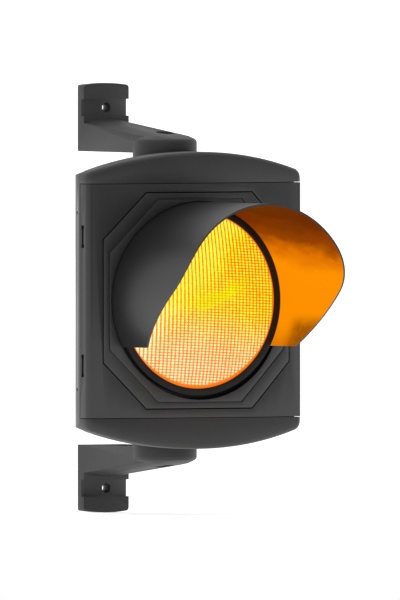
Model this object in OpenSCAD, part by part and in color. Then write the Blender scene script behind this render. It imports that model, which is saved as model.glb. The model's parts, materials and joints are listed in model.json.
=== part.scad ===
// Single-lamp traffic signal head with an upper and a lower pole bracket.
// The front faces -Y, +Z is up, and the origin is midway between the two pole bolt holes.

/* [Head] */
// Overall width of the head
head_w = 282; // [282:1:286]
// Height of the head at its middle
head_h = 336; // [334:1:336]
// Distance from the pole seat to the front of the door
front_reach = 220.4; // [220:0.1:224]
// Radius of the curved front face, about a vertical axis
face_r = 780; // [700:10:1000]
// Radius of the arched top and bottom
arch_r = 452; // [440:1:470]
// Radius of the rounded front edges
edge_r = 6; // [5:0.5:7]
// Wall thickness of the moulded shells
wall = 3; // [2.5:0.1:3]

/* [Door] */
// Height of the door between the two seams
door_h = 264.4; // [264:0.1:264.8]
// Distance across the flats of the octagonal visor plate
plate_w = 245.8; // [245:0.1:246.6]
// Leg of the plate's 45 degree corner cut
plate_cut = 52.9; // [50:0.1:54]
// Angle that the door opens
door_open = 105; // [90:1:105]

/* [Lens and visor] */
// Visible diameter of the lens
lens_d = 200; // [199:0.1:201]
// Rise of the domed lens
lens_rise = 14; // [10:1:18]
// Outer diameter of the visor
visor_d = 223; // [223:0.1:223.4]
// Wall thickness of the visor
visor_t = 2.1; // [1.8:0.1:2.1]
// Reach of the visor in front of the door
visor_reach = 148; // [120:1:160]
// Height of the visor's lower edges, below the lens centre
visor_drop = 52; // [40:1:60]

/* [Brackets] */
// Distance between the upper and the lower pole bolt
bolt_spacing = 430; // [428:1:432]
// Radius of the pole bolt holes
bolt_r = 3.3; // [3:0.1:3.5]
// Radius of the round hub
hub_r = 36.3; // [36:0.1:37]
// Distance from the pole seat to the swivel axis
hub_y = -141.5; // [-142:0.1:-141]
// Half width of the arm and its pole plate
arm_half = 29.6; // [29:0.1:31]

/* [Hidden] */

$fn = 96;
face_fn = 256;
big = 400;

half_w = head_w / 2;
half_h = head_h / 2;
front_y = -front_reach;
rim_depth = 32;
door_rear_y = front_y + rim_depth - 3.1;
shell_y = door_rear_y + 1;
back_y = -82;
bulkhead_t = 3;
corner_r = 11;

side_flat = 1.9;
side_r = 30;
side_turn = 42;
top_turn = 12;
back_r = 18;
shoulder_r = 28;

dimple_z = 100;

door_half = door_h / 2;
seam = 0.7;
seal_in = 121;
seal_out = 126;
seal_t = 3;
ledge_t = 3;
ledge_in = 117;
ledge_cut = 56;
plate_gap = 1.3;
plate_t = 2.5;
shadow_depth = 2;

hinge_x = half_w - 0.5;
hinge_y = door_rear_y - 5.5;
knuckle_r = 4;
knuckle_h = 20;
knuckle_gap = 0.4;
lug_h = 8;
hinge_pin_r = 1.75;
hinge_zs = [-70, 70];

catch_z = 73;
catch_travel = 3;
catch_x = -half_w + wall + 0.4;
catch_t = 3.5;
catch_h = 24;
catch_front = door_rear_y - 10.5;
window_h = 25.5;
window_y = door_rear_y - 5.25;
window_w = 4.5;
guide_x = catch_x + catch_t + catch_travel + 1.1;
guide_t = 2.6;
guide_h = 34;

lens_r = lens_d / 2;
lens_y = front_y + 6.3;
lens_t = 3;
dome_r = (lens_r * lens_r + lens_rise * lens_rise) / (2 * lens_rise);
ring_in = lens_r + 1.2;
ring_lip_in = lens_r - 0.4;
ring_lip_t = 1.6;
ring_out = 107.6;
ring_front = front_y + 4;
ring_flange_r = 116;
ring_flange_y = front_y + 11.5;
groove_r = 112.3;
visor_r = visor_d / 2;
visor_slope = 1.21;
visor_slope_z = 3.4;
visor_slope_reach = 113.5;
visor_knee_r = 68;
visor_lip_r = 6;

module_y = ring_flange_y + 3.1;

pole_seat = 3;
seat_in = 18;
plate_front = -12.5;
arm_crown_r = 89;
hub_rim_z = 177;
hub_rim_r = 5.5;
hub_rim_turn = 65;
nose_drop = 4.2;
arm_wall = 4;
arm_roof = 7.5;
arm_floor = 165.8;
cable_z = 186.2;
chamber_r = 29;
hub_base = 160.4;
hub_floor_t = 6;
hub_top = hub_base + hub_floor_t;
turret_top = hub_base - 1.9;
turret_floor = turret_top - 4;
turret_z = 146;
pocket_gap = 1;
pole_plate_top = 242.7;
strap_h = 19;
strap_depth = 5.7;
tool_hole_r = 10.75;
bolt_z = bolt_spacing / 2;
hub_bolt_r = 6;
kidney_r = 22;
kidney_w = 12;
kidney_sweep = 152;

CASE = [0.16, 0.16, 0.165];
DOOR = [0.18, 0.18, 0.185];
DARK = [0.08, 0.08, 0.08];
AMBER = [1, 0.62, 0.05];
STEEL = [0.72, 0.73, 0.75];
RUBBER = [0.05, 0.05, 0.05];
BOARD = [0.06, 0.3, 0.16];
CREAM = [0.85, 0.84, 0.78];
BRASS = [0.78, 0.62, 0.3];

// ---- outlines ----

function arc(cx, cy, r, a0, a1, steps) =
    [for (i = [0:steps]) [cx + r * cos(a0 + (a1 - a0) * i / steps),
                          cy + r * sin(a0 + (a1 - a0) * i / steps)]];

function mirrored(points) = [for (i = [len(points) - 1:-1:0]) [-points[i][0], points[i][1]]];

// Front view of the head: straight sides, arched ends, rounded corners.
function head_quarter(inset) =
    let (cz = half_h - arch_r,
         cx = half_w - corner_r,
         pz = cz + sqrt(pow(arch_r - corner_r, 2) - cx * cx),
         turn = atan2(pz - cz, cx))
    concat(arc(cx, pz, corner_r - inset, 0, turn, 6),
           arc(0, cz, arch_r - inset, turn, 90, 12));

module head_front(inset = 0) {
    upper = concat(head_quarter(inset), mirrored(head_quarter(inset)));
    lower = [for (i = [len(upper) - 1:-1:0]) [upper[i][0], -upper[i][1]]];
    polygon(concat(upper, lower));
}

// An XZ outline pushed back from y0 to y1.
module push(y0, y1) {
    translate([0, y1, 0])
        rotate([90, 0, 0])
            linear_extrude(height = y1 - y0)
                children();
}

// A YZ outline spread across X.
module spread(width) {
    rotate([90, 0, 90])
        translate([0, 0, -width / 2])
            linear_extrude(height = width)
                children();
}

// Plan of the curved front with its rounded side edges.
module front_plan(inset = 0, rear = 0) {
    cx = half_w - edge_r;
    cy = front_y + face_r - sqrt(pow(face_r - edge_r, 2) - cx * cx);
    r = edge_r - inset;
    intersection() {
        translate([0, front_y + face_r])
            circle(r = face_r - inset, $fn = 4 * face_fn);
        translate([-cx, front_y - 1])
            square([2 * cx, rear - front_y + 1]);
    }
    for (side = [-1, 1])
        translate([side * cx, cy])
            circle(r = r, $fn = 48);
    translate([-cx - r, cy])
        square([2 * (cx + r), rear - cy]);
}

// A band that follows the front face, from in0 to in1 behind it.
module face_band(in0, in1, height) {
    translate([0, front_y + face_r, -height / 2])
        difference() {
            cylinder(r = face_r - in0, h = height, $fn = face_fn);
            translate([0, 0, -1])
                cylinder(r = face_r - in1, h = height + 2, $fn = face_fn);
        }
}

module octagon(half, cut) {
    polygon([[half, half - cut], [half - cut, half], [cut - half, half], [-half, half - cut],
             [-half, cut - half], [cut - half, -half], [half - cut, -half], [half, cut - half]]);
}

module ring(r0, r1, y0, y1) {
    translate([0, y1, 0])
        rotate([90, 0, 0])
            difference() {
                cylinder(r = r1, h = y1 - y0, $fn = 128);
                translate([0, 0, -1])
                    cylinder(r = r0, h = y1 - y0 + 2, $fn = 128);
            }
}

// A round rod along Y.
module rod(x, z, r, y0, y1, sides = 32) {
    translate([x, y1, z])
        rotate([90, 0, 0])
            cylinder(r = r, h = y1 - y0, $fn = sides);
}

// A pan-head screw along Y with its head towards +Y and a cross slot.
module screw_y(x, z, r, y_tip, y_head) {
    head_r = 1.9 * r;
    head_h = 1.1 * r;
    difference() {
        union() {
            rod(x, z, r, y_tip, y_head);
            rod(x, z, head_r, y_head, y_head + head_h);
        }
        for (turn = [0, 90])
            translate([x, y_head + head_h, z])
                rotate([0, turn, 0])
                    cube([1.2 * head_r, head_h, 0.35 * r], center = true);
    }
}

module box(x0, x1, y0, y1, z0, z1) {
    translate([x0, y0, z0])
        cube([x1 - x0, y1 - y0, z1 - z0]);
}

module both_ends() {
    children();
    mirror([0, 0, 1])
        children();
}

// ---- brackets ----

function arm_top(y) = 188.7 + (y - hub_y) * 13.3 / (plate_front - hub_y);

module arm_side() {
    nose = hub_y - hub_r;
    polygon([[nose - 1, 150], [nose - 1, arm_top(nose) - nose_drop],
             [hub_y - 6, arm_top(hub_y - 6)], [1, arm_top(1)], [1, 150]]);
}

// The hub as a turned shape with a rounded rim and a top steep enough to leave the crown alone.
module hub_turned() {
    rim = arc(hub_r - hub_rim_r, hub_rim_z, hub_rim_r, 0, hub_rim_turn, 8);
    tip = rim[len(rim) - 1];
    translate([0, hub_y, 0])
        rotate_extrude($fn = 192)
            polygon(concat([[0, hub_base], [hub_r, hub_base]], rim,
                           [[0, tip[1] + tip[0] / tan(hub_rim_turn)]]));
}

module arm_block() {
    slope = atan(13.3 / (plate_front - hub_y));
    intersection() {
        union() {
            hub_turned();
            translate([-arm_half, hub_y, arm_floor])
                cube([2 * arm_half, -hub_y, 60]);
        }
        spread(2 * hub_r + 2)
            arm_side();
        translate([0, hub_y, arm_top(hub_y) - arm_crown_r])
            rotate([slope, 0, 0])
                rotate([-90, 0, 0])
                    translate([0, 0, -100])
                        cylinder(r = arm_crown_r, h = 300, $fn = 192);
    }
}

// The cable's way: a flat-roofed channel, open below, and a round chamber over the hub's floor.
module arm_hollow() {
    half = arm_half - arm_wall;
    intersection() {
        union() {
            difference() {
                box(-half, half, hub_y, plate_front, 150, 220);
                translate([0, hub_y, 140])
                    cylinder(r = hub_r, h = hub_top - 140, $fn = 192);
            }
            translate([0, hub_y, hub_top])
                cylinder(r = chamber_r, h = 40, $fn = 96);
        }
        spread(2 * hub_r)
            polygon([[hub_y - hub_r, 150], [hub_y - hub_r, arm_top(hub_y - hub_r) - arm_roof],
                     [plate_front, arm_top(plate_front) - arm_roof], [plate_front, 150]]);
    }
}

module kidney(z0, height) {
    translate([0, hub_y, z0])
        rotate([0, 0, 90 - kidney_sweep / 2])
            rotate_extrude(angle = kidney_sweep)
                translate([kidney_r - kidney_w / 2, 0])
                    square([kidney_w, height]);
}

module pole_plate_front() {
    top = pole_plate_top;
    arch = 180;
    corner = 4;
    cx = arm_half - corner;
    cz = top - arch;
    pz = cz + sqrt(pow(arch - corner, 2) - cx * cx);
    turn = atan2(pz - cz, cx);
    half = concat(arc(cx, pz, corner, 0, turn, 6), arc(0, cz, arch, turn, 90, 6));
    polygon(concat([[arm_half, arm_floor]], half, mirrored(half), [[-arm_half, arm_floor]]));
}

// The plate that bears on the pole: chamfered at the back, with a flat channel between two seats.
module pole_plate() {
    bevel = 2;
    heel_r = 3;
    difference() {
        intersection() {
            push(plate_front, pole_seat)
                pole_plate_front();
            translate([0, 0, 160])
                linear_extrude(height = 100)
                    polygon([[-arm_half, plate_front], [arm_half, plate_front],
                             [arm_half, pole_seat - bevel], [arm_half - bevel, pole_seat],
                             [bevel - arm_half, pole_seat], [-arm_half, pole_seat - bevel]]);
            spread(2 * arm_half)
                polygon(concat([[plate_front, 260], [plate_front, arm_floor]],
                               arc(pole_seat - heel_r, arm_floor + heel_r, heel_r, -90, 0, 6),
                               [[pole_seat, 260]]));
        }
        box(-seat_in, seat_in, 0, pole_seat + 1, 160, 250);
    }
}

module bracket() {
    difference() {
        union() {
            difference() {
                arm_block();
                arm_hollow();
            }
            pole_plate();
        }
        // recess for the fixing strap
        difference() {
            box(-40, 40, plate_front - 1, plate_front + strap_depth + 1,
                bolt_z - strap_h / 2, bolt_z + strap_h / 2);
            translate([0, plate_front + 78, bolt_z - 20])
                cylinder(r = 78, h = 40, $fn = 256);
        }
        // pole bolt hole with its hexagon pocket
        rod(0, bolt_z, bolt_r, plate_front - 1, 1, 48);
        translate([0, plate_front + 5, bolt_z])
            rotate([90, 30, 0])
                cylinder(r = 10.5 / sqrt(3), h = 10, $fn = 6);
        // cable way from the pole into the arm
        rod(0, cable_z, 8, plate_front - 1, 1, 64);
        // tool hole above the hub bolt
        translate([0, hub_y, hub_top + 1])
            cylinder(r = tool_hole_r, h = 40, $fn = 96);
        // hub bolt hole and curved cable slot
        translate([0, hub_y, hub_base - 1])
            cylinder(r = hub_bolt_r + 0.3, h = hub_floor_t + 2, $fn = 64);
        kidney(hub_base - 1, hub_floor_t + 2);
    }
}

module upper_bracket() {
    color(CASE)
        bracket();
}

module lower_bracket() {
    color(CASE)
        mirror([0, 0, 1])
            bracket();
}

module swivel_washers() {
    color(RUBBER)
        both_ends()
            difference() {
                translate([0, hub_y, turret_top + 0.2])
                    difference() {
                        cylinder(r = hub_r - 1.3, h = 1.5, $fn = 128);
                        translate([0, 0, -1])
                            cylinder(r = 9.5, h = 4);
                    }
                kidney(turret_top - 1, 4);
            }
}

module hub_bolts() {
    color(STEEL)
        both_ends()
            translate([0, hub_y, 0]) {
                translate([0, 0, 143.6])
                    cylinder(r = hub_bolt_r, h = hub_top + 2 - 143.6, $fn = 64);
                translate([0, 0, hub_top + 2])
                    intersection() {
                        cylinder(r = 18 / sqrt(3), h = 7.5, $fn = 6);
                        cylinder(r = 10, h = 7.5, $fn = 64);
                    }
            }
}

module hub_disc(r0, r1, z0, z1) {
    both_ends()
        translate([0, hub_y, z0])
            difference() {
                cylinder(r = r1, h = z1 - z0, $fn = 64);
                translate([0, 0, -1])
                    cylinder(r = r0, h = z1 - z0 + 2, $fn = 64);
            }
}

module hub_bolt_washers() {
    color(STEEL)
        hub_disc(hub_bolt_r + 0.3, 12, hub_top, hub_top + 2);
}

module hub_nut_washers() {
    color(STEEL)
        hub_disc(hub_bolt_r + 0.3, 12.5, turret_floor - 4.3, turret_floor - 2.4);
}

module hub_nuts() {
    color(STEEL)
        both_ends()
            translate([0, hub_y, 144.1])
                difference() {
                    cylinder(r = 19 / sqrt(3), h = 6, $fn = 6);
                    translate([0, 0, -1])
                        cylinder(r = hub_bolt_r + 0.02, h = 12, $fn = 64);
                }
}

// ---- rear housing ----

// Half of a section through the shell: a short flat, an arc, a straight taper and a rear corner.
function shell_side(half, turn, rear_r, inset) =
    let (cy = shell_y + side_flat,
         cx = half - side_r,
         by = back_y - rear_r,
         bx = cx + (side_r - rear_r - sin(turn) * (by - cy)) / cos(turn))
    concat([[half - inset, shell_y - 1]],
           arc(cx, cy, side_r - inset, 0, turn, 8),
           arc(bx, by, rear_r - inset, turn, 90, 8));

module housing_solid(inset, y0) {
    side = shell_side(half_w, side_turn, back_r, inset);
    top = shell_side(half_h, top_turn, shoulder_r, inset);
    intersection() {
        push(y0, back_y)
            head_front(inset);
        translate([0, 0, -big / 2])
            linear_extrude(height = big)
                polygon(concat(side, mirrored(side)));
        rotate([0, -90, 0])
            translate([0, 0, -big / 2])
                linear_extrude(height = big)
                    polygon(concat(top, mirrored(top)));
        tilted_arch(inset);
        mirror([0, 0, 1])
            tilted_arch(inset);
    }
}

// The arched top, leaning down towards the back.
module tilted_arch(inset) {
    translate([0, shell_y, half_h])
        rotate([-top_turn, 0, 0])
            translate([0, -60, -arch_r])
                rotate([-90, 0, 0])
                    cylinder(r = arch_r - inset, h = 260, $fn = face_fn);
}

// The seat of one hub: a pocket sunk in the arch, with a short turret where the arch falls away.
module hub_seat() {
    intersection() {
        housing_solid(0, shell_y);
        translate([0, hub_y, turret_floor])
            cylinder(r = hub_r + pocket_gap + wall, h = 30, $fn = 128);
    }
    translate([0, hub_y, turret_z])
        cylinder(r = hub_r, h = turret_top - turret_z, $fn = 128);
}

// The pocket above the seat's floor and the room for the nut below it.
module hub_seat_room() {
    translate([0, hub_y, turret_top])
        cylinder(r = hub_r + pocket_gap, h = 30, $fn = 128);
    translate([0, hub_y, turret_z - 6])
        cylinder(r = hub_r - 4, h = turret_floor - turret_z + 6, $fn = 128);
}

module hinge_lug(z0) {
    translate([hinge_x, hinge_y, z0])
        cylinder(r = knuckle_r, h = lug_h, $fn = 64);
    box(half_w - 4, hinge_x + knuckle_r, hinge_y, shell_y + 3, z0, z0 + lug_h);
}

module rear_housing() {
    color(CASE)
        difference() {
            union() {
                difference() {
                    housing_solid(0, shell_y);
                    housing_solid(wall, shell_y + bulkhead_t);
                    // door-sized opening in the front bulkhead
                    box(-seal_in, seal_in, shell_y - 1, shell_y + bulkhead_t + 1,
                        -seal_in, seal_in);
                }
                both_ends()
                    hub_seat();
                // bosses for the terminal rail
                for (x = [-36, 36])
                    rod(x, -105, 4.5, -94, back_y - 1);
                for (z = hinge_zs) {
                    hinge_lug(z + knuckle_h / 2 + knuckle_gap);
                    hinge_lug(z - knuckle_h / 2 - knuckle_gap - lug_h);
                }
            }
            both_ends()
                hub_seat_room();
            for (z = hinge_zs)
                translate([hinge_x, hinge_y, z - 40])
                    cylinder(r = hinge_pin_r + 0.02, h = 80, $fn = 48);
            translate([0, hub_y, -big / 2])
                cylinder(r = 9, h = big, $fn = 96);
            // cable hole in the lower hub seat
            translate([0, hub_y + kidney_r, -165])
                cylinder(r = 5, h = 15, $fn = 64);
            for (x = [-36, 36])
                rod(x, -105, 1.4, -95, -88);
            for (x = [-100, 100], z = [-140, 140])
                rod(x, z, 1.8, shell_y - 1, shell_y + bulkhead_t + 1);
            for (z = [-catch_z, catch_z], dz = [-14.5, 14.5])
                rod(guide_x - 2.5, z + dz, 1.1, shell_y - 1, shell_y + bulkhead_t + 1);
            // small round dimples on the left side
            for (z = [-dimple_z, dimple_z])
                translate([-half_w - 1, shell_y + 6.5, z])
                    rotate([0, 90, 0])
                        cylinder(r = 1.9, h = 2.6, $fn = 32);
        }
}

// One end cap: the head's outline with every front edge rounded, cut at the seam.
module cap_block(inset) {
    steps = 5;
    hull()
        for (i = [0:steps])
            intersection() {
                push(front_y - 1, shell_y)
                    head_front(inset + (edge_r - inset) * (1 - cos(90 * i / steps)));
                translate([0, front_y + face_r, 0])
                    cylinder(r = face_r - inset - (edge_r - inset) * (1 - sin(90 * i / steps)),
                             h = half_h, $fn = 512);
            }
}

module end_cap() {
    seam_z = door_half + seam;
    difference() {
        intersection() {
            cap_block(0);
            box(-half_w, half_w, front_y - 1, shell_y, seam_z, half_h);
        }
        difference() {
            intersection() {
                cap_block(wall);
                box(-half_w, half_w, front_y - 1, shell_y + 1, seam_z + wall, half_h);
            }
            for (x = [-100, 100])
                rod(x, 140, 4, front_y, shell_y);
        }
        for (x = [-100, 100])
            rod(x, 140, 1.5, shell_y - 12, shell_y + 1);
    }
}

module top_cap() {
    color(DOOR)
        end_cap();
}

module bottom_cap() {
    color(DOOR)
        mirror([0, 0, 1])
            end_cap();
}

module cap_screws() {
    color(STEEL)
        for (x = [-100, 100], z = [-140, 140])
            screw_y(x, z, 1.5, shell_y - 11, shell_y + bulkhead_t);
}

module hub_bushes() {
    color(BRASS) {
        hub_disc(hub_bolt_r + 0.06, 8.98, turret_floor - 0.1, turret_top + 0.1);
        hub_disc(hub_bolt_r + 0.06, 13, turret_floor - 2.3, turret_floor - 0.05);
    }
}

module door_seal() {
    color(RUBBER)
        difference() {
            box(-seal_out, seal_out, shell_y - seal_t, shell_y, -seal_out, seal_out);
            box(-seal_in, seal_in, shell_y - seal_t - 1, shell_y + 1, -seal_in, seal_in);
        }
}

module hinge_pins() {
    pin_h = knuckle_h + 2 * (knuckle_gap + lug_h) + 2;
    color(STEEL)
        for (z = hinge_zs)
            translate([hinge_x, hinge_y, z - pin_h / 2])
                cylinder(r = hinge_pin_r, h = pin_h, $fn = 48);
}

// ---- door catches ----

module catch_guides() {
    color(CASE)
        for (z = [-catch_z, catch_z])
            difference() {
                union() {
                    box(guide_x, guide_x + guide_t, catch_front, shell_y,
                        z - guide_h / 2, z + guide_h / 2);
                    for (side = [-1, 1])
                        translate([guide_x - 6, catch_front, z + side * 14.75 - 2])
                            cube([7, shell_y - catch_front, 4]);
                }
                for (dz = [-14.5, 14.5])
                    rod(guide_x - 2.5, z + dz, 0.9, shell_y - 8, shell_y + 1);
            }
}

module catch_guide_screws() {
    color(STEEL)
        for (z = [-catch_z, catch_z], dz = [-14.5, 14.5])
            screw_y(guide_x - 2.5, z + dz, 0.9, shell_y - 7, shell_y + bulkhead_t);
}

module catch(z) {
    difference() {
        box(catch_x, catch_x + catch_t, catch_front, shell_y - 0.6,
            z - catch_h / 2, z + catch_h / 2);
        // hollow back that seats the leaf spring
        box(catch_x + 1.5, catch_x + catch_t + 1, catch_front + 3, shell_y - 3, z - 10, z + 10);
        // finger grooves
        for (dz = [-6:3:6])
            box(catch_x - 1, catch_x + 0.6, catch_front + 2, shell_y - 3, z + dz - 0.5, z + dz + 0.5);
    }
}

module upper_catch() {
    color(DARK)
        catch(catch_z);
}

module lower_catch() {
    color(DARK)
        catch(-catch_z);
}

// A bowed leaf spring between the guide and the hollow of the catch.
module leaf_spring(z) {
    rise = guide_x - catch_x - 1.7;
    chord = 9;
    r = (chord * chord + rise * rise) / (2 * rise);
    t = 0.4;
    translate([guide_x - rise - 0.1, catch_front + 4, z])
        rotate([-90, 0, 0])
            linear_extrude(height = 4)
                intersection() {
                    translate([r, 0])
                        difference() {
                            circle(r = r, $fn = 128);
                            circle(r = r - t, $fn = 128);
                        }
                    translate([0, -chord])
                        square([rise, 2 * chord]);
                }
}

module upper_catch_spring() {
    color(STEEL)
        leaf_spring(catch_z);
}

module lower_catch_spring() {
    color(STEEL)
        leaf_spring(-catch_z);
}

// ---- wiring inside the housing ----

module cable_grommet() {
    color(RUBBER)
        translate([0, hub_y + kidney_r, 0])
            rotate_extrude()
                polygon([[3, -160], [4.9, -160], [4.9, -154.4], [7.5, -154.4], [7.5, -151.4],
                         [3, -150.4]]);
}

module terminal_rail() {
    color(STEEL)
        difference() {
            union() {
                box(-42, 42, -95.2, -94, -122, -98);
                box(-42, 42, -102, -94, -122, -120.8);
                box(-42, 42, -102, -94, -99.2, -98);
            }
            for (x = [-36, 36])
                rod(x, -105, 1.7, -97, -93);
        }
}

module terminal_block() {
    color(CREAM)
        difference() {
            box(-30, 30, -116, -95.2, -119, -101);
            for (x = [-25:10:25]) {
                rod(x, -106, 2.6, -117, -104);
                box(x - 2.5, x + 2.5, -113, -100, -120, -115);
            }
            for (x = [-20:10:20])
                box(x - 0.4, x + 0.4, -117, -108, -120, -100);
        }
}

module terminal_screws() {
    color(BRASS)
        for (x = [-25:10:25])
            difference() {
                rod(x, -106, 2.4, -113, -104.2);
                box(x - 3, x + 3, -114, -112, -106.4, -105.6);
            }
}

module rail_screws() {
    color(STEEL)
        for (x = [-36, 36])
            mirror([0, 1, 0])
                screw_y(x, -105, 1.4, 89, 95.2);
}

// ---- door ----

module hinge_notch(z0) {
    box(half_w - 6, half_w + 5, hinge_y - 6, door_rear_y + 1, z0 - 0.4, z0 + lug_h + 0.4);
}

module window(z) {
    box(-half_w - 1, 1 - half_w + wall, window_y - window_w / 2, window_y + window_w / 2,
        z - window_h / 2, z + window_h / 2);
    for (side = [-1, 1])
        translate([-half_w - 1, window_y - window_w / 2 - 0.8, z + side * (window_h / 2 - 2) - 2])
            cube([wall + 2, window_w + 1.6, 4]);
}

module door_frame() {
    color(DOOR)
        difference() {
            union() {
                difference() {
                    translate([0, 0, -door_half])
                        linear_extrude(height = door_h)
                            front_plan(0, door_rear_y);
                    translate([0, 0, wall - door_half])
                        linear_extrude(height = door_h - 2 * wall)
                            front_plan(wall, door_rear_y + 1);
                }
                // octagonal ledge behind the visor plate
                intersection() {
                    face_band(wall - 0.5, wall + ledge_t, door_h - wall);
                    push(front_y - 1, door_rear_y)
                        octagon(plate_w / 2 + 4, plate_cut);
                }
                // rib that presses on the seal
                intersection() {
                    difference() {
                        box(-seal_out, seal_out, front_y, shell_y - seal_t - 0.2,
                            -seal_out, seal_out);
                        box(-seal_out + wall, seal_out - wall, front_y - 1, door_rear_y,
                            -seal_out + wall, seal_out - wall);
                    }
                    translate([0, 0, -door_half])
                        linear_extrude(height = door_h)
                            front_plan(1, door_rear_y);
                }
                for (z = hinge_zs)
                    translate([hinge_x, hinge_y, z - knuckle_h / 2])
                        cylinder(r = knuckle_r, h = knuckle_h, $fn = 64);
            }
            // seat of the visor plate, then the way through behind it
            intersection() {
                translate([0, 0, -door_half])
                    linear_extrude(height = door_h)
                        difference() {
                            translate([-half_w, front_y - 5])
                                square([head_w, 60]);
                            translate([0, front_y + face_r])
                                circle(r = face_r - wall, $fn = 4 * face_fn);
                        }
                push(front_y - 6, front_y + 20)
                    octagon(plate_w / 2, plate_cut);
            }
            push(front_y - 6, front_y + 30)
                octagon(ledge_in, ledge_cut);
            for (z = hinge_zs) {
                translate([hinge_x, hinge_y, z - 20])
                    cylinder(r = hinge_pin_r + 0.05, h = 40, $fn = 48);
                hinge_notch(z + knuckle_h / 2 + knuckle_gap);
                hinge_notch(z - knuckle_h / 2 - knuckle_gap - lug_h);
            }
            for (z = [-catch_z, catch_z])
                window(z);
            plate_screw_places()
                rod(0, 0, 1.5, 0, 12);
            // shadow groove around the visor plate
            intersection() {
                face_band(wall - 1, wall + shadow_depth, door_h);
                difference() {
                    push(front_y - 1, front_y + 30)
                        octagon(plate_w / 2, plate_cut);
                    push(front_y - 2, front_y + 31)
                        octagon(plate_w / 2 - plate_gap, plate_cut - 0.6 * plate_gap);
                }
            }
        }
}

// How far the curved face lies behind the front plane at x.
function set_back(x) = face_r - sqrt(face_r * face_r - x * x);

// Eight places on the ledge, two on each straight side, at the depth of the face there.
module plate_screw_places() {
    across = 119.6;
    for (side = [-1, 1], along = [-40, 40]) {
        translate([side * across, front_y + set_back(across + 2.5), along])
            children();
        translate([along, front_y + set_back(along + 2.5), side * across])
            children();
    }
}

module visor_plate() {
    color(DOOR)
        difference() {
            intersection() {
                face_band(0, plate_t, door_h);
                push(front_y - 1, front_y + 20)
                    octagon(plate_w / 2 - plate_gap, plate_cut - 0.6 * plate_gap);
            }
            rod(0, 0, groove_r, front_y - 5, front_y + 25, 192);
            // fine octagonal groove
            intersection() {
                face_band(-1, 1.5, door_h);
                difference() {
                    push(front_y - 1, front_y + 20)
                        octagon(115.3, 59.9);
                    push(front_y - 2, front_y + 21)
                        octagon(114.1, 59.2);
                }
            }
            plate_screw_places()
                rod(0, 0, 1.1, 1.2, 6);
        }
}

module plate_screws() {
    color(STEEL)
        plate_screw_places()
            screw_y(0, 0, 1.1, 1.6, wall + ledge_t + 0.3);
}

// Side view: a straight front, a knee, a slanted edge and a level lower edge with a round corner.
module visor_side() {
    lean = atan(visor_slope);
    knee_z = visor_slope_z + (visor_reach - visor_slope_reach) / visor_slope;
    knee_up = visor_knee_r * tan(lean / 2);
    lip_z = visor_lip_r - visor_drop;
    lip_reach = visor_slope_reach - visor_lip_r * cos(lean)
        + visor_slope * (lip_z - visor_lip_r * sin(lean) - visor_slope_z);
    polygon(concat(
        [[ring_flange_y, visor_r + 5], [front_y - visor_reach, visor_r + 5]],
        arc(front_y - visor_reach + visor_knee_r, knee_z + knee_up, visor_knee_r,
            180, 180 + lean, 16),
        arc(front_y - lip_reach, lip_z, visor_lip_r, 180 + lean, 270, 8),
        [[ring_flange_y, -visor_drop]]));
}

module visor() {
    color(DARK)
        intersection() {
            difference() {
                rod(0, 0, visor_r, front_y - visor_reach - 1, ring_flange_y - 0.3, 192);
                rod(0, 0, visor_r - visor_t, front_y - visor_reach - 2, ring_flange_y + 1, 192);
            }
            spread(big)
                visor_side();
        }
}

module visor_screws() {
    color(STEEL)
        for (turn = [20, 90, 160])
            rotate([0, -turn, 0])
                translate([visor_r - visor_t / 2, 0, 0])
                    screw_y(0, 0, 0.75, ring_flange_y - 0.3, ring_flange_y + 2.1);
}

// ---- lens and light module ----

module lens_ring() {
    color(DOOR)
        difference() {
            union() {
                ring(ring_lip_in, ring_out, ring_front, ring_front + ring_lip_t);
                ring(ring_in, ring_out, ring_front, ring_flange_y + 1);
                ring(ring_in, ring_flange_r, ring_flange_y, ring_flange_y + 3);
            }
            for (turn = [20, 90, 160])
                rotate([0, -turn, 0])
                    translate([visor_r - visor_t / 2, 0, 0])
                        union() {
                            rod(0, 0, 0.8, ring_flange_y - 1, ring_flange_y + 4);
                            rod(0, 0, 1.7, ring_flange_y + 2.05, ring_flange_y + 4);
                        }
        }
}

module lens() {
    rim_r = lens_r + 0.7;
    apex = lens_rise - dome_r;
    color(AMBER)
        rotate([90, 0, 0])
            translate([0, 0, -lens_y])
                rotate_extrude($fn = 192)
                    difference() {
                        union() {
                            intersection() {
                                translate([0, apex])
                                    circle(r = dome_r, $fn = 720);
                                square([lens_r, lens_rise + 1]);
                            }
                            translate([0, -4.6])
                                square([rim_r, 4.6]);
                        }
                        translate([0, apex - lens_t])
                            circle(r = dome_r, $fn = 720);
                        translate([-dome_r, -dome_r])
                            square([dome_r, 2 * dome_r]);
                        translate([0, -6])
                            square([lens_r - 4, 4]);
                    }
}

module lens_gasket() {
    color(RUBBER)
        ring(lens_r - 4, lens_r + 0.9, lens_y + 4.6, module_y);
}

module fresnel_lens() {
    color(AMBER)
        ring(0, 95.5, module_y + 0.4, module_y + 2.9);
}

module module_shell() {
    color(CASE)
        rotate([90, 0, 0])
            translate([0, 0, -module_y])
                rotate_extrude($fn = 128)
                    polygon([[96, 0], [115, 0], [115, -3], [102, -3], [84, -46], [64, -46],
                             [64, -70], [61.5, -70], [61.5, -43.5], [82.4, -43.5], [97, -8.6],
                             [97, -3], [96, -3]]);
}

module module_clip_places() {
    for (turn = [45:90:315])
        rotate([0, turn, 0])
            translate([118, 0, 0])
                children();
}

module module_clips() {
    clip_y = module_y + 3;
    color(STEEL)
        module_clip_places()
            difference() {
                box(-10, 6, clip_y, clip_y + 1.2, -7, 7);
                rod(2.5, 0, 1.4, clip_y - 1, clip_y + 2);
            }
}

module clip_screws() {
    color(STEEL)
        module_clip_places()
            screw_y(2.5, 0, 1.2, module_y - 5, module_y + 4.2);
}

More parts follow.
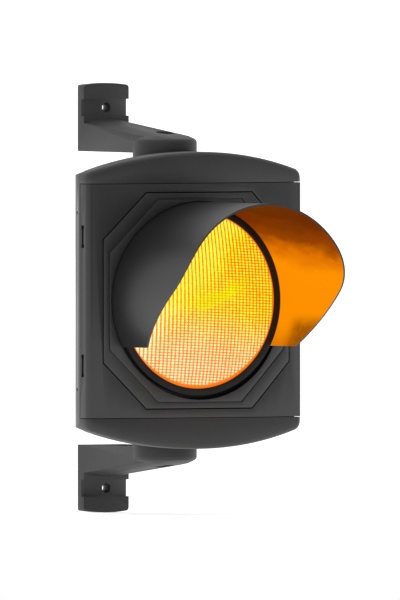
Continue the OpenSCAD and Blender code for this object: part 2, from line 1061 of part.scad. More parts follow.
module led_board() {
    color(BOARD)
        difference() {
            ring(0, 74, module_y + 36, module_y + 37.6);
            for (turn = [0:120:240])
                rotate([0, turn, 0])
                    rod(66, 0, 1.7, module_y + 30, module_y + 40);
        }
}

module board_spacers() {
    color(BRASS)
        for (turn = [0:120:240])
            rotate([0, turn, 0]) {
                rod(66, 0, 1.6, module_y + 35, module_y + 43.4);
                rod(66, 0, 3.2, module_y + 37.7, module_y + 43.4);
            }
}

module leds() {
    pitch = 17;
    rows = 3;
    color(AMBER)
        for (q = [-rows:rows], r = [max(-rows, -q - rows):min(rows, -q + rows)])
            translate([pitch * (q + r / 2), module_y + 36, pitch * r * sqrt(3) / 2])
                rotate([90, 0, 0]) {
                    cylinder(r = 2.9, h = 1.2, $fn = 24);
                    cylinder(r = 2.5, h = 3.5, $fn = 24);
                    translate([0, 0, 3.5])
                        sphere(r = 2.5, $fn = 24);
                }
}

module driver_board() {
    color(BOARD)
        box(-46, 46, module_y + 52, module_y + 53.6, -30, 30);
}

module driver_parts() {
    y = module_y + 53.7;
    color(DARK) {
        box(-38, -16, y, y + 13, -12, 12);
        box(8, 26, y, y + 8, -24, -10);
        rod(14, 10, 6, y, y + 14);
        rod(32, 10, 5, y, y + 12);
        box(-8, 0, y, y + 3, -6, 6);
        box(30, 42, y, y + 4, -22, -12);
    }
}

module module_cover() {
    y = module_y + 70.1;
    color(CASE)
        difference() {
            union() {
                ring(0, 64, y, y + 2.5);
                for (turn = [45:90:315])
                    rotate([0, turn, 0])
                        rod(56, 0, 4, y - 8, y + 0.5);
            }
            for (turn = [45:90:315])
                rotate([0, turn, 0])
                    rod(56, 0, 1.4, y - 9, y + 3);
            box(-13, 13, y - 1, y + 3, -42, -30);
        }
}

module cover_screws() {
    color(STEEL)
        for (turn = [45:90:315])
            rotate([0, turn, 0])
                screw_y(56, 0, 1.3, module_y + 64, module_y + 72.6);
}

module module_connector() {
    y = module_y + 70.1;
    color(CREAM)
        difference() {
            union() {
                box(-12.8, 12.8, y - 6, y + 6, -41.8, -30.2);
                box(-15, 15, y - 2, y - 0.1, -44, -28);
            }
            for (x = [-8, 0, 8])
                box(x - 2.5, x + 2.5, y + 1, y + 7, -38.5, -33.5);
        }
}

upper_bracket();
lower_bracket();
swivel_washers();
hub_bolts();
hub_bolt_washers();
hub_nuts();
hub_nut_washers();
rear_housing();
top_cap();
bottom_cap();
cap_screws();
hub_bushes();
door_seal();
hinge_pins();
catch_guides();
catch_guide_screws();
upper_catch_spring();
lower_catch_spring();
cable_grommet();
terminal_rail();
terminal_block();
terminal_screws();
rail_screws();
upper_catch();
lower_catch();
door_frame();
visor_plate();
plate_screws();
visor();
visor_screws();
lens_ring();
lens();
lens_gasket();
fresnel_lens();
module_shell();
module_clips();
clip_screws();
led_board();
leds();
board_spacers();
driver_board();
driver_parts();
module_cover();
cover_screws();
module_connector();
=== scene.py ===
import json
import math

import bmesh
import bpy
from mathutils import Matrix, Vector


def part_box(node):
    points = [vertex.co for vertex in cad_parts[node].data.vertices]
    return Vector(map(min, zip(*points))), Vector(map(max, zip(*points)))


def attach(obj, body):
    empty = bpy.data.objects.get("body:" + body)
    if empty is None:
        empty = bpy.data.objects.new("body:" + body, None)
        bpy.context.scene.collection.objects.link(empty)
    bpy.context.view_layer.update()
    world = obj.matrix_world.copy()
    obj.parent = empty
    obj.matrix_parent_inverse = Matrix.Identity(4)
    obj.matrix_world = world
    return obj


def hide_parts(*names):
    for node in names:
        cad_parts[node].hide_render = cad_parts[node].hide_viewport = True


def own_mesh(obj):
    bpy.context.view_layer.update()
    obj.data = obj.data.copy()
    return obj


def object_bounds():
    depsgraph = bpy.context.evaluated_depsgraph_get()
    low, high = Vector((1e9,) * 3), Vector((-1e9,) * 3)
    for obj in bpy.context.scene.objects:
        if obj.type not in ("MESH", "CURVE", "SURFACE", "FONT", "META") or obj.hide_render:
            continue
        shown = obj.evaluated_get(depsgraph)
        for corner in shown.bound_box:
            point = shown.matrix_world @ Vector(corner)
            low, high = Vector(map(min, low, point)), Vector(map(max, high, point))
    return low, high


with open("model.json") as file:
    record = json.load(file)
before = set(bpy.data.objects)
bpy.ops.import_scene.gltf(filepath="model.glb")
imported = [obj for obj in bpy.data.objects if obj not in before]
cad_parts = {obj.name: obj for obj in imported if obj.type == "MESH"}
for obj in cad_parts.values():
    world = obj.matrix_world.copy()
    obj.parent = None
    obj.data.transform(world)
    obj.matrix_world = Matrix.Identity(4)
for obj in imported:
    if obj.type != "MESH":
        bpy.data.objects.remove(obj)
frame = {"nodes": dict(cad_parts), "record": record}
cad_low, cad_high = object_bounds()
MM = 0.001


# ---------- node helpers ----------

class Nodes:
    """A short way to build one material's node tree."""

    def __init__(self, name):
        self.mat = bpy.data.materials.new(name)
        self.mat.use_nodes = True
        self.tree = self.mat.node_tree
        self.tree.nodes.clear()
        self.out = self.add("ShaderNodeOutputMaterial")
        self.shader = self.add("ShaderNodeBsdfPrincipled")
        self.link(self.shader, "BSDF", self.out, "Surface")
        self.coords = self.add("ShaderNodeTexCoord")

    def add(self, kind, **settings):
        node = self.tree.nodes.new(kind)
        for key, value in settings.items():
            setattr(node, key, value)
        return node

    def link(self, a, a_socket, b, b_socket):
        self.tree.links.new(a.outputs[a_socket], b.inputs[b_socket])

    def noise(self, scale, detail=2.0, rough=0.5, stretch=None):
        node = self.add("ShaderNodeTexNoise")
        node.inputs["Scale"].default_value = scale
        node.inputs["Detail"].default_value = detail
        node.inputs["Roughness"].default_value = rough
        if stretch:
            mapping = self.add("ShaderNodeMapping")
            mapping.inputs["Scale"].default_value = stretch
            self.link(self.coords, "Object", mapping, "Vector")
            self.link(mapping, "Vector", node, "Vector")
        else:
            self.link(self.coords, "Object", node, "Vector")
        return node

    def ramp(self, source, socket, stops):
        node = self.add("ShaderNodeValToRGB")
        elements = node.color_ramp.elements
        while len(elements) > 1:
            elements.remove(elements[-1])
        for i, (place, colour) in enumerate(stops):
            element = elements[0] if i == 0 else elements.new(place)
            element.position = place
            element.color = (*colour, 1.0)
        self.link(source, socket, node, "Fac")
        return node

    def math(self, operation, a, b=None):
        node = self.add("ShaderNodeMath", operation=operation)
        for i, value in enumerate((a, b)):
            if value is None:
                continue
            if isinstance(value, tuple):
                self.link(value[0], value[1], node, i)
            else:
                node.inputs[i].default_value = value
        return node

    def scaled(self, source, socket, low, high, from_low=0.0, from_high=1.0, smooth=False):
        node = self.add("ShaderNodeMapRange")
        if smooth:
            node.interpolation_type = "SMOOTHSTEP"
        node.inputs["From Min"].default_value = from_low
        node.inputs["From Max"].default_value = from_high
        node.inputs["To Min"].default_value = low
        node.inputs["To Max"].default_value = high
        self.link(source, socket, node, "Value")
        return node

    def mix(self, fac, a, b):
        node = self.add("ShaderNodeMix", data_type="RGBA")
        for index, value in ((0, fac), (6, a), (7, b)):
            if isinstance(value, tuple) and not isinstance(value[0], (int, float)):
                self.tree.links.new(value[0].outputs[value[1]], node.inputs[index])
            else:
                node.inputs[index].default_value = value
        return node

    def bump(self, source, socket, strength, distance):
        node = self.add("ShaderNodeBump")
        node.inputs["Strength"].default_value = strength
        node.inputs["Distance"].default_value = distance
        self.link(source, socket, node, "Height")
        return node

    def set(self, **values):
        for key, value in values.items():
            self.shader.inputs[key.replace("_", " ")].default_value = value
        return self.mat


def moulded_plastic(name, dark, light, rough=0.42, grain=1400.0, grain_depth=0.05, spec=0.5):
    """Spark-textured black polycarbonate: a fine grain, faint flow marks and dust."""
    n = Nodes(name)
    cloud = n.noise(14.0, 4.0, 0.55)
    colour = n.ramp(cloud, "Fac", [(0.3, dark), (0.7, light)])
    fine = n.noise(grain, 2.0, 0.6)
    speck = n.ramp(fine, "Fac", [(0.45, (0.0, 0.0, 0.0)), (0.78, (1.0, 1.0, 1.0))])
    lift = n.math("MULTIPLY", (speck, "Color"), 0.35)
    tint = n.mix((lift, "Value"), (colour, "Color"), (*[c * 1.9 for c in light], 1.0))
    n.link(tint, 2, n.shader, "Base Color")
    streak = n.noise(6.0, 3.0, 0.6, stretch=(1.0, 1.0, 5.0))
    roughness = n.scaled(streak, "Fac", rough - 0.05, rough + 0.07)
    n.link(roughness, "Result", n.shader, "Roughness")
    bump = n.bump(fine, "Fac", 0.35, grain_depth * MM)
    n.link(bump, "Normal", n.shader, "Normal")
    return n.set(Specular_IOR_Level=spec)


def rubber(name):
    n = Nodes(name)
    cloud = n.noise(30.0, 3.0)
    colour = n.ramp(cloud, "Fac", [(0.3, (0.012, 0.012, 0.012)), (0.7, (0.028, 0.028, 0.027))])
    n.link(colour, "Color", n.shader, "Base Color")
    fine = n.noise(900.0, 2.0)
    n.link(n.bump(fine, "Fac", 0.4, 0.04 * MM), "Normal", n.shader, "Normal")
    rough = n.scaled(fine, "Fac", 0.6, 0.8)
    n.link(rough, "Result", n.shader, "Roughness")
    return n.mat


def metal(name, low, high, rough=0.28, stretch=(40.0, 1.0, 1.0)):
    """Drawn or plated metal: fine lines along the part and cloudy roughness."""
    n = Nodes(name)
    cloud = n.noise(45.0, 4.0, 0.6)
    colour = n.ramp(cloud, "Fac", [(0.3, low), (0.7, high)])
    n.link(colour, "Color", n.shader, "Base Color")
    lines = n.noise(60.0, 2.0, 0.5, stretch=stretch)
    roughness = n.scaled(lines, "Fac", rough - 0.08, rough + 0.1)
    n.link(roughness, "Result", n.shader, "Roughness")
    n.link(n.bump(lines, "Fac", 0.25, 0.02 * MM), "Normal", n.shader, "Normal")
    return n.set(Metallic=1.0)


def solder_mask(name):
    """Green board with etched tracks under the mask."""
    n = Nodes(name)
    tracks = n.add("ShaderNodeTexBrick")
    n.link(n.coords, "Object", tracks, "Vector")
    tracks.inputs["Scale"].default_value = 90.0
    tracks.inputs["Mortar Size"].default_value = 0.03
    tracks.inputs["Color1"].default_value = (0.008, 0.11, 0.045, 1)
    tracks.inputs["Color2"].default_value = (0.010, 0.13, 0.055, 1)
    tracks.inputs["Mortar"].default_value = (0.03, 0.24, 0.10, 1)
    n.link(tracks, "Color", n.shader, "Base Color")
    n.link(n.bump(tracks, "Fac", 0.3, 0.03 * MM), "Normal", n.shader, "Normal")
    return n.set(Roughness=0.25, Coat_Weight=0.4)


def cream_plastic(name):
    n = Nodes(name)
    cloud = n.noise(40.0, 3.0)
    colour = n.ramp(cloud, "Fac", [(0.3, (0.55, 0.52, 0.42)), (0.7, (0.66, 0.63, 0.53))])
    n.link(colour, "Color", n.shader, "Base Color")
    fine = n.noise(700.0, 2.0)
    n.link(n.bump(fine, "Fac", 0.2, 0.02 * MM), "Normal", n.shader, "Normal")
    return n.set(Roughness=0.35, Subsurface_Weight=0.05)


def amber_epoxy(name, glow):
    n = Nodes(name)
    cloud = n.noise(80.0, 2.0)
    colour = n.ramp(cloud, "Fac", [(0.3, (0.9, 0.32, 0.01)), (0.7, (1.0, 0.45, 0.03))])
    n.link(colour, "Color", n.shader, "Base Color")
    n.link(colour, "Color", n.shader, "Emission Color")
    return n.set(Roughness=0.12, Emission_Strength=glow, Coat_Weight=0.6)


# ---------- the lit lens ----------

LENS_PITCH_X = 4.9 * MM
LENS_PITCH_Z = 3.2 * MM
LENS_BOW = 5.0
LENS_LEAN = 0.05


def lens_cell(n, turned, pitch):
    """0 at the edges of a pillow and 1 along its middle, along one axis."""
    turns = n.math("MULTIPLY", turned, math.pi / pitch)
    wave = n.math("SINE", (turns, "Value"))
    return n.math("ABSOLUTE", (wave, "Value"))


def lit_lens(name, radius):
    """Amber pillow optic, lit from behind: bright pillows on an orange ground."""
    n = Nodes(name)
    split = n.add("ShaderNodeSeparateXYZ")
    n.link(n.coords, "Object", split, "Vector")
    flat = n.add("ShaderNodeCombineXYZ")
    n.link(split, "X", flat, "X")
    n.link(split, "Z", flat, "Z")
    away = n.add("ShaderNodeVectorMath", operation="LENGTH")
    n.link(flat, "Vector", away, 0)
    radial = n.math("DIVIDE", (away, "Value"), radius)
    # the columns bow outwards a little towards the edge, as on a domed optic
    bow = n.math("MULTIPLY", (split, "Z"), (split, "Z"))
    bow = n.math("MULTIPLY", (bow, "Value"), (split, "X"))
    bow = n.math("MULTIPLY", (bow, "Value"), LENS_BOW)
    column = n.math("ADD", (split, "X"), (bow, "Value"))
    lean = n.math("MULTIPLY", (split, "X"), LENS_LEAN)
    row = n.math("ADD", (split, "Z"), (lean, "Value"))
    across = lens_cell(n, (column, "Value"), LENS_PITCH_X)
    up = lens_cell(n, (row, "Value"), LENS_PITCH_Z)
    # stripes towards -X and +Z, a square grid of spots elsewhere
    corner = n.math("SUBTRACT", (split, "Z"), (split, "X"))
    stripes = n.scaled(corner, "Value", 0.15, 1.0, -0.03, 0.05, smooth=True)
    level = n.math("MAXIMUM", (up, "Value"), (stripes, "Result"))
    spot = n.math("MULTIPLY", (across, "Value"), (level, "Value"))
    spot = n.scaled(spot, "Value", -0.05, 1.05, 0.12, 0.85)
    # each pillow a little different, and large soft patches of lamp glow
    cell = n.noise(330.0, 1.0, 0.5)
    vary = n.scaled(cell, "Fac", -0.16, 0.16, 0.3, 0.7)
    glow = n.noise(20.0, 2.0, 0.5)
    patch = n.scaled(glow, "Fac", -0.10, 0.10, 0.3, 0.7)
    heat = n.math("ADD", (spot, "Result"), (vary, "Result"))
    heat = n.math("ADD", (heat, "Value"), (patch, "Result"))
    colour = n.ramp(heat, "Value", [
        (0.0, (1.0, 0.17, 0.0)), (0.25, (1.0, 0.34, 0.0)), (0.45, (1.0, 0.68, 0.0)),
        (0.70, (1.0, 0.92, 0.0)), (1.0, (1.0, 1.0, 0.12))])
    # painted highlight: the lower part pales, white pillows on a pinkish ground
    slant = n.scaled(split, "X", 0.012, -0.012, -0.06, 0.06)
    pale_place = n.math("SUBTRACT", (split, "Z"), (slant, "Result"))
    lower = n.scaled(pale_place, "Value", 1.0, 0.0, -0.075, 0.0, smooth=True)
    white = n.scaled(heat, "Value", 0.06, 1.0, 0.35, 0.95)
    lower_highlight = n.math("MULTIPLY", (lower, "Result"), (white, "Result"))
    hot = n.mix((lower_highlight, "Value"), (colour, "Color"), (1.0, 0.95, 0.80, 1.0))
    # yellow-green band where the lamp shows through the middle
    tilt = n.math("MULTIPLY", (split, "X"), 0.30)
    wander = n.scaled(n.noise(45.0, 3.0, 0.6), "Fac", -0.008, 0.008, 0.3, 0.7)
    band_z = n.math("SUBTRACT", (split, "Z"), (tilt, "Value"))
    band_z = n.math("ADD", (band_z, "Value"), (wander, "Result"))
    near = n.math("ABSOLUTE", (band_z, "Value"))
    band = n.scaled(near, "Value", 1.0, 0.0, 0.002, 0.016, smooth=True)
    sideways = n.math("ABSOLUTE", (n.math("SUBTRACT", (split, "X"), 0.022), "Value"))
    inside = n.scaled(sideways, "Value", 1.0, 0.0, 0.006, 0.055, smooth=True)
    band = n.math("MULTIPLY", (band, "Result"), (inside, "Result"))
    sparkle = n.scaled(heat, "Value", 0.25, 1.0, 0.0, 0.8)
    band = n.math("MULTIPLY", (band, "Value"), (sparkle, "Result"))
    greened = n.mix((band, "Value"), (hot, 2), (0.62, 1.0, 0.0, 1.0))
    # deep orange rim, wider at the bottom
    rim_from = n.scaled(split, "Z", 0.945, 0.972, -0.095, -0.04, smooth=True)
    past = n.math("SUBTRACT", (radial, "Value"), (rim_from, "Result"))
    rim = n.scaled(past, "Value", 0.0, 1.0, -0.006, 0.016, smooth=True)
    final = n.mix((rim, "Result"), (greened, 2), (0.93, 0.17, 0.0, 1.0))
    n.link(final, 2, n.shader, "Emission Color")
    cloud = n.ramp(glow, "Fac", [(0.3, (0.10, 0.03, 0.0)), (0.7, (0.16, 0.05, 0.0))])
    n.link(cloud, "Color", n.shader, "Base Color")
    pillows = n.math("MULTIPLY", (across, "Value"), (up, "Value"))
    n.link(n.bump(pillows, "Value", 0.5, 0.5 * MM), "Normal", n.shader, "Normal")
    return n.set(Emission_Strength=0.97, Roughness=0.3, Specular_IOR_Level=0.15)


def visor_painted_lens_glow(name):
    """The visor's inner face: painted lens light, a bright amber glow where the lens would light
    it and painted brown shade above and below.
    """
    n = Nodes(name)
    split = n.add("ShaderNodeSeparateXYZ")
    n.link(n.coords, "Object", split, "Vector")
    cloud = n.noise(26.0, 4.0, 0.65, stretch=(1.0, 0.45, 1.0))
    drift = n.scaled(cloud, "Fac", -0.009, 0.009, 0.3, 0.7)
    height = n.math("ADD", (split, "Z"), (drift, "Result"))
    # painted light: the lit zone climbs towards the mouth of the visor
    forward = n.scaled(split, "Y", 0.006, -0.010, -0.36, -0.22)
    height = n.math("ADD", (height, "Value"), (forward, "Result"))
    # painted light and shade as emission colour: an amber band, brown above and below
    colour = n.ramp(n.scaled(height, "Value", 0.0, 1.0, -0.06, 0.12), "Result", [
        (0.0, (0.75, 0.20, 0.0)), (0.12, (1.0, 0.28, 0.0)), (0.50, (1.0, 0.285, 0.0)),
        (0.60, (0.75, 0.17, 0.0)), (0.69, (0.30, 0.050, 0.0)), (0.85, (0.13, 0.014, 0.0)),
        (1.0, (0.10, 0.010, 0.0))])
    # the painted glow is darker, in a mottled patch, at the lower front corner of the inner face
    dim_mottle = n.scaled(n.noise(55.0, 4.0, 0.7), "Fac", 0.75, 1.0, 0.35, 0.5)
    low = n.scaled(split, "Z", 1.0, 0.0, -0.034, -0.012, smooth=True)
    edge = n.scaled(split, "Y", 1.0, 0.0, -0.262, -0.230, smooth=True)
    corner = n.math("MULTIPLY", (low, "Result"), (edge, "Result"))
    corner_dimming = n.math("MULTIPLY", (corner, "Value"), (dim_mottle, "Result"))
    corner_dimming = n.math("MULTIPLY", (corner_dimming, "Value"), 0.75)
    dimmed_glow = n.mix((corner_dimming, "Value"), (colour, "Color"), (0.16, 0.035, 0.0, 1.0))
    n.link(dimmed_glow, 2, n.shader, "Emission Color")
    base = n.ramp(cloud, "Fac", [(0.3, (0.006, 0.002, 0.0)), (0.7, (0.010, 0.003, 0.0))])
    n.link(base, "Color", n.shader, "Base Color")
    fine = n.noise(1200.0, 2.0)
    n.link(n.bump(fine, "Fac", 0.2, 0.03 * MM), "Normal", n.shader, "Normal")
    return n.set(Roughness=0.45, Emission_Strength=0.98, Specular_IOR_Level=0.02)


# ---------- meshes ----------

def piece_from(node, name):
    """A new object with a copy of a CAD node's mesh, merged and ready to edit."""
    source = frame["nodes"][node]
    mesh = source.data.copy()
    mesh.materials.clear()
    obj = bpy.data.objects.new(name, mesh)
    bpy.context.scene.collection.objects.link(obj)
    bm = bmesh.new()
    bm.from_mesh(mesh)
    bmesh.ops.remove_doubles(bm, verts=bm.verts, dist=0.002 * MM)
    bm.to_mesh(mesh)
    bm.free()
    return obj


def apply_modifiers(obj):
    graph = bpy.context.evaluated_depsgraph_get()
    mesh = bpy.data.meshes.new_from_object(obj.evaluated_get(graph))
    obj.modifiers.clear()
    obj.data = mesh


def smooth_by_angle(mesh, degrees=30.0):
    bm = bmesh.new()
    bm.from_mesh(mesh)
    for face in bm.faces:
        face.smooth = True
    for edge in bm.edges:
        sharp = len(edge.link_faces) != 2 or edge.calc_face_angle(math.pi) > math.radians(degrees)
        edge.smooth = not sharp
    bm.to_mesh(mesh)
    bm.free()


def rounded(node, width_mm, segments=2, angle=35.0):
    """A copy of a CAD node with its sharp edges rounded, in the node's place."""
    obj = piece_from(node, "shown_" + node)
    bm = bmesh.new()
    bm.from_mesh(obj.data)
    bmesh.ops.dissolve_limit(bm, angle_limit=math.radians(0.3), verts=bm.verts, edges=bm.edges)
    bm.to_mesh(obj.data)
    bm.free()
    bevel = obj.modifiers.new("edges", "BEVEL")
    bevel.width = width_mm * MM
    bevel.segments = segments
    bevel.limit_method = "ANGLE"
    bevel.angle_limit = math.radians(angle)
    bevel.use_clamp_overlap = True
    bevel.harden_normals = False
    apply_modifiers(obj)
    smooth_by_angle(obj.data, 40.0)
    return obj


BODY_OF = {node: body for body, nodes in frame["record"]["behaviour"]["bodies"].items()
           for node in nodes}
SLOT_OF = {s["node"]: s["material_slot"] for s in frame["record"]["subparts"]}


def take_over(obj, node):
    """The new piece rides, and stands for, where its CAD node does."""
    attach(obj, BODY_OF[node])
    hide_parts(node)


# ---------- camera ----------

PHOTO_TURN = math.radians(-30.8)
PHOTO_RISE = math.radians(1.0)
PHOTO_HEIGHT = 0.678
FLOOR_HALF = 45.0
FRONT_LIGHT = 0.92
BACK_LIGHT = 1.2
DIM_DIRECTION = (0.25, -0.968, 0.0)
DIM_LEVEL = 0.02
DIM_EDGE = 0.74
DIM_CORE = 0.98
FADE_FRONT = -0.5
FADE_BACK = 0.6
CAMERA_AWAY = 3.0
SIGHT_DEPTH = 1.1 * MM
SIGHT_HEIGHT = 0.5 * MM
SIGHT = Vector((0.0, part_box("door_frame")[0][1] + SIGHT_DEPTH, SIGHT_HEIGHT))
LAMP_PLACE = (-0.2, 0.3, 1.6)
LAMP_AIM = (0.0, -0.1, 0.0)
LAMP_SIZE = 1.4
LAMP_POWER = 2.5


def add_camera():
    data = bpy.data.cameras.new("camera")
    data.type = "ORTHO"
    data.ortho_scale = PHOTO_HEIGHT
    data.clip_end = 200.0
    camera = bpy.data.objects.new("camera", data)
    back = Vector((math.sin(PHOTO_TURN) * math.cos(PHOTO_RISE),
                   -math.cos(PHOTO_TURN) * math.cos(PHOTO_RISE), math.sin(PHOTO_RISE)))
    camera.location = SIGHT + back * CAMERA_AWAY
    camera.rotation_euler = back.to_track_quat("Z", "Y").to_euler()
    bpy.context.scene.collection.objects.link(camera)
    bpy.context.scene.camera = camera


def add_light(name, place, aim, size, power):
    data = bpy.data.lights.new(name, "AREA")
    data.shape = "RECTANGLE"
    data.size = size
    data.size_y = size
    data.energy = power
    lamp = bpy.data.objects.new(name, data)
    lamp.location = place
    lamp.rotation_euler = (Vector(place) - Vector(aim)).to_track_quat("Z", "Y").to_euler()
    bpy.context.scene.collection.objects.link(lamp)


def light_world():
    """White for the camera; for the object, white behind it and dimmer in front."""
    world = bpy.data.worlds.new("studio")
    world.use_nodes = True
    tree = world.node_tree
    tree.nodes.clear()
    out = tree.nodes.new("ShaderNodeOutputWorld")
    seen = tree.nodes.new("ShaderNodeBackground")
    seen.inputs["Color"].default_value = (1.0, 1.0, 1.0, 1.0)
    around = tree.nodes.new("ShaderNodeBackground")
    coords = tree.nodes.new("ShaderNodeTexCoord")
    split = tree.nodes.new("ShaderNodeSeparateXYZ")
    fade = tree.nodes.new("ShaderNodeMapRange")
    fade.interpolation_type = "SMOOTHSTEP"
    fade.inputs["From Min"].default_value = FADE_FRONT
    fade.inputs["From Max"].default_value = FADE_BACK
    fade.inputs["To Min"].default_value = FRONT_LIGHT
    fade.inputs["To Max"].default_value = BACK_LIGHT
    path = tree.nodes.new("ShaderNodeLightPath")
    choose = tree.nodes.new("ShaderNodeMixShader")
    tree.links.new(coords.outputs["Generated"], split.inputs["Vector"])
    tree.links.new(split.outputs["Y"], fade.inputs["Value"])
    towards = tree.nodes.new("ShaderNodeVectorMath")
    towards.operation = "DOT_PRODUCT"
    towards.inputs[1].default_value = DIM_DIRECTION
    dim = tree.nodes.new("ShaderNodeMapRange")
    dim.interpolation_type = "SMOOTHSTEP"
    dim.inputs["From Min"].default_value = DIM_EDGE
    dim.inputs["From Max"].default_value = DIM_CORE
    dim.inputs["To Min"].default_value = 1.0
    dim.inputs["To Max"].default_value = DIM_LEVEL
    strength = tree.nodes.new("ShaderNodeMath")
    strength.operation = "MULTIPLY"
    tree.links.new(coords.outputs["Generated"], towards.inputs[0])
    tree.links.new(towards.outputs["Value"], dim.inputs["Value"])
    tree.links.new(fade.outputs["Result"], strength.inputs[0])
    tree.links.new(dim.outputs["Result"], strength.inputs[1])
    tree.links.new(strength.outputs["Value"], around.inputs["Strength"])
    tree.links.new(path.outputs["Is Camera Ray"], choose.inputs["Fac"])
    tree.links.new(around.outputs["Background"], choose.inputs[1])
    tree.links.new(seen.outputs["Background"], choose.inputs[2])
    tree.links.new(choose.outputs["Shader"], out.inputs["Surface"])
    bpy.context.scene.world = world


def add_floor():
    floor_z = cad_low[2]
    half = FLOOR_HALF
    mesh = bpy.data.meshes.new("floor")
    mesh.from_pydata([(-half, -half, floor_z), (half, -half, floor_z), (half, half, floor_z),
                      (-half, half, floor_z)], [], [(0, 1, 2, 3)])
    floor = bpy.data.objects.new("floor", mesh)
    bpy.context.scene.collection.objects.link(floor)
    n = Nodes("floor_white")
    faint = n.noise(3.0, 2.0)
    tone = n.ramp(faint, "Fac", [(0.3, (0.93, 0.93, 0.93)), (0.7, (0.95, 0.95, 0.95))])
    n.link(tone, "Color", n.shader, "Base Color")
    n.link(tone, "Color", n.shader, "Emission Color")
    n.set(Roughness=0.9, Specular_IOR_Level=0.0, Emission_Strength=0.6)
    mesh.materials.append(n.mat)


def add_studio():
    light_world()
    add_floor()
    add_light("soft_top", LAMP_PLACE, LAMP_AIM, LAMP_SIZE, LAMP_POWER)
    view = bpy.context.scene.view_settings
    view.view_transform = "Standard"
    view.look = "None"


# ---------- looks ----------

BLACK_LOW = (0.019, 0.019, 0.019)
BLACK_HIGH = (0.025, 0.025, 0.025)
looks = {
    "bracket_plastic": moulded_plastic("bracket_plastic", (0.027,) * 3, (0.035,) * 3, 0.5,
                                       spec=0.4),
    "housing_plastic": moulded_plastic("housing_plastic", BLACK_LOW, BLACK_HIGH, 0.13, spec=1.0),
    "cap_plastic": moulded_plastic("cap_plastic", BLACK_LOW, BLACK_HIGH, 0.45),
    "door_plastic": moulded_plastic("door_plastic", BLACK_LOW, BLACK_HIGH, 0.45),
    "plate_plastic": moulded_plastic("plate_plastic", BLACK_LOW, BLACK_HIGH, 0.45),
    "ring_plastic": moulded_plastic("ring_plastic", (0.009,) * 3, (0.013,) * 3, 0.45, spec=0.15),
    "guide_plastic": moulded_plastic("guide_plastic", (0.03,) * 3, (0.04,) * 3, 0.5),
    "catch_plastic": moulded_plastic("catch_plastic", (0.025,) * 3, (0.035,) * 3, 0.4),
    "visor_plastic": moulded_plastic("visor_plastic", (0.012,) * 3, (0.017,) * 3, 0.36, 1100.0,
                                     0.09),
    "module_plastic": moulded_plastic("module_plastic", (0.04,) * 3, (0.055,) * 3, 0.5),
    "component_plastic": moulded_plastic("component_plastic", (0.03,) * 3, (0.045,) * 3, 0.4),
    "washer_rubber": rubber("washer_rubber"),
    "seal_rubber": rubber("seal_rubber"),
    "zinc_steel": metal("zinc_steel", (0.50, 0.52, 0.55), (0.66, 0.67, 0.69)),
    "stainless_steel": metal("stainless_steel", (0.48, 0.48, 0.48), (0.60, 0.60, 0.60), 0.25),
    "spring_steel": metal("spring_steel", (0.45, 0.46, 0.49), (0.57, 0.58, 0.60), 0.22),
    "bush_brass": metal("bush_brass", (0.55, 0.40, 0.14), (0.72, 0.54, 0.22), 0.3),
    "terminal_plastic": cream_plastic("terminal_plastic"),
    "circuit_board": solder_mask("circuit_board"),
    "amber_led": amber_epoxy("amber_led", 0.8),
    "clear_amber": amber_epoxy("clear_amber", 0.2),
}
# painted shade: a near-black matte material standing in for the shade in deep grooves
GROOVE_SHADE = moulded_plastic("groove_painted_shade", (0.003,) * 3, (0.006,) * 3, 0.75, spec=0.1)
LENS_R = (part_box("lens")[1][0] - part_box("lens")[0][0]) / 2
looks["amber_lens"] = lit_lens("amber_lens", LENS_R)

for node_name, node_object in frame["nodes"].items():
    node_object.data.materials.clear()
    node_object.data.materials.append(looks[SLOT_OF[node_name]])

# node: width of its rounded edges in millimetres
ROUNDED = {"upper_bracket": 0.9, "lower_bracket": 0.9, "rear_housing": 0.5, "top_cap": 0.35,
           "bottom_cap": 0.35, "door_frame": 0.25, "visor_plate": 0.2, "lens_ring": 0.7}


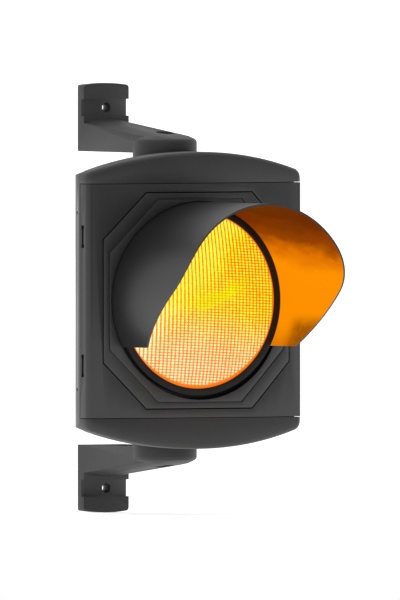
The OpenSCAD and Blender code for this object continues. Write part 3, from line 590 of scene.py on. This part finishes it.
FACE_R = 780.0 * MM
PLATE_HALF = 122.9 * MM
PLATE_CORNER = 192.9 * MM
GROOVE_FROM = 0.96
GROOVE_TO = 1.015
COLLAR_HOLE_R = 113.0 * MM
GROOVED = {"door_frame": 0.4 * MM, "visor_plate": 0.3 * MM}


def paint_groove_shade(obj, from_depth):
    """Painted shade: near-black matte plastic on the walls and floor of the octagonal groove and
    round the collar, where shade falls.
    """
    obj.data.materials.append(GROOVE_SHADE)
    axis_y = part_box("door_frame")[0][1] + FACE_R
    for face in obj.data.polygons:
        x, y, z = face.center
        depth = FACE_R - math.hypot(x, y - axis_y)
        out = max(abs(x) / PLATE_HALF, abs(z) / PLATE_HALF, (abs(x) + abs(z)) / PLATE_CORNER)
        in_groove = GROOVE_FROM < out < GROOVE_TO
        if depth > from_depth and (in_groove or math.hypot(x, z) < COLLAR_HOLE_R):
            # these faces get the painted shade
            face.material_index = 1


def add_rounded_parts():
    for node, width in ROUNDED.items():
        obj = rounded(node, width)
        obj.data.materials.append(looks[SLOT_OF[node]])
        if node in GROOVED:
            paint_groove_shade(obj, GROOVED[node])
        take_over(obj, node)


def add_visor():
    """Matt black outside and on its edges; on its inner face glossy near-black with painted amber
    lens light as glow.
    """
    obj = piece_from("visor", "shown_visor")
    obj.data.materials.append(looks["visor_plastic"])
    # second slot: painted amber lens light for the inner face
    obj.data.materials.append(visor_painted_lens_glow("visor_painted_lens_glow"))
    bm = bmesh.new()
    bm.from_mesh(obj.data)
    for face in bm.faces:
        middle = face.calc_center_median()
        across = face.normal.x * middle.x + face.normal.z * middle.z
        inner = across < -0.9 * math.hypot(middle.x, middle.z)
        face.material_index = 1 if inner else 0
    bm.to_mesh(obj.data)
    bm.free()
    smooth_by_angle(obj.data, 30.0)
    take_over(obj, "visor")


def add_catch_springs():
    """The leaf springs, as smooth-shaded spring-steel copies of their CAD nodes, each with a mesh
    of its own.
    """
    for end in ("upper", "lower"):
        node = end + "_catch_spring"
        spring = piece_from(node, "shown_" + node)
        spring.data.materials.append(looks["spring_steel"])
        smooth_by_angle(spring.data, 30.0)
        take_over(spring, node)
        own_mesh(spring)


add_rounded_parts()
add_visor()
add_catch_springs()
add_camera()
add_studio()
